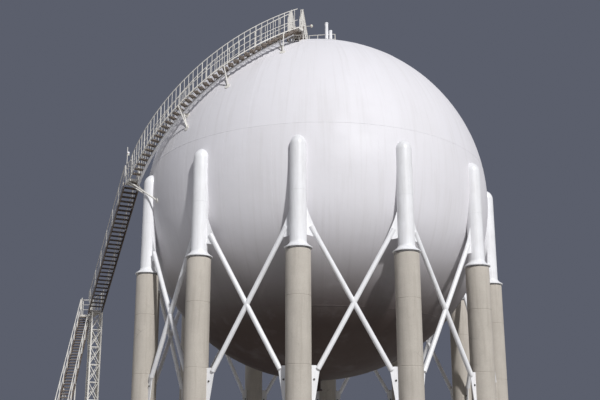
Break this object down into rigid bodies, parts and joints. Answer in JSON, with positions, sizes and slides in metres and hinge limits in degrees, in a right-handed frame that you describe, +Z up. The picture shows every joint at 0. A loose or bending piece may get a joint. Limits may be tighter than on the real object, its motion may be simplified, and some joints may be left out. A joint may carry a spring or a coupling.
{
  "type": "spherical gas tank",
  "caption": "Welded sphere for pressurised gas on fireproofed tubular legs with crossed braces, and a stair that curves up to the platform on its crown.",
  "frame": {"origin": "the middle of the footprint's box, on the ground, which lies 2.68 m from the sphere's axis towards the stair", "axes": "+Z up; the picture looks nearly along +Y, and the stair is on the -X side"},
  "size_m": [26.555, 21.2, 26.56],
  "materials": {
    "white_paint": "satin white",
    "pipe_paint": "satin white",
    "casing_concrete": "rough sprayed concrete with faint stains",
    "stair_paint": "satin off-white",
    "stair_steel": "pale stringers and brown, weathered treads"
  },
  "bodies": {
    "root": {"shell_bottom_crown": "white_paint", "shell_equator_belt": "white_paint", "shell_upper_zone": "white_paint", "shell_top_crown": "white_paint", "upper_leg_01": "pipe_paint", "fireproofed_leg_01": "casing_concrete", "x_brace_01": "pipe_paint", "upper_leg_02": "pipe_paint", "fireproofed_leg_02": "casing_concrete", "x_brace_02": "pipe_paint", "upper_leg_03": "pipe_paint", "fireproofed_leg_03": "casing_concrete", "x_brace_03": "pipe_paint", "upper_leg_04": "pipe_paint", "fireproofed_leg_04": "casing_concrete", "x_brace_04": "pipe_paint", "upper_leg_05": "pipe_paint", "fireproofed_leg_05": "casing_concrete", "x_brace_05": "pipe_paint", "upper_leg_06": "pipe_paint", "fireproofed_leg_06": "casing_concrete", "x_brace_06": "pipe_paint", "upper_leg_07": "pipe_paint", "fireproofed_leg_07": "casing_concrete", "x_brace_07": "pipe_paint", "upper_leg_08": "pipe_paint", "fireproofed_leg_08": "casing_concrete", "x_brace_08": "pipe_paint", "upper_leg_09": "pipe_paint", "fireproofed_leg_09": "casing_concrete", "x_brace_09": "pipe_paint", "upper_leg_10": "pipe_paint", "fireproofed_leg_10": "casing_concrete", "x_brace_10": "pipe_paint", "upper_leg_11": "pipe_paint", "fireproofed_leg_11": "casing_concrete", "x_brace_11": "pipe_paint", "upper_leg_12": "pipe_paint", "fireproofed_leg_12": "casing_concrete", "x_brace_12": "pipe_paint", "curved_flight": "stair_steel", "upper_flight": "stair_steel", "lower_flight_foot": "stair_steel", "lower_flight_head": "stair_steel", "curved_outer_rail": "stair_paint", "curved_inner_rail": "stair_paint", "equator_landing": "stair_paint", "upper_outer_rail": "stair_paint", "upper_inner_rail": "stair_paint", "stair_tower": "stair_paint", "tower_landing": "stair_paint", "lower_outer_rail": "stair_paint", "lower_inner_rail": "stair_paint", "crown_walkway": "stair_paint", "crown_outer_rail": "stair_paint", "crown_inner_rail": "stair_paint", "crown_platform": "stair_paint", "top_manway": "white_paint", "relief_vents": "pipe_paint", "bottom_outlet": "white_paint"}
  },
  "joints": []
}
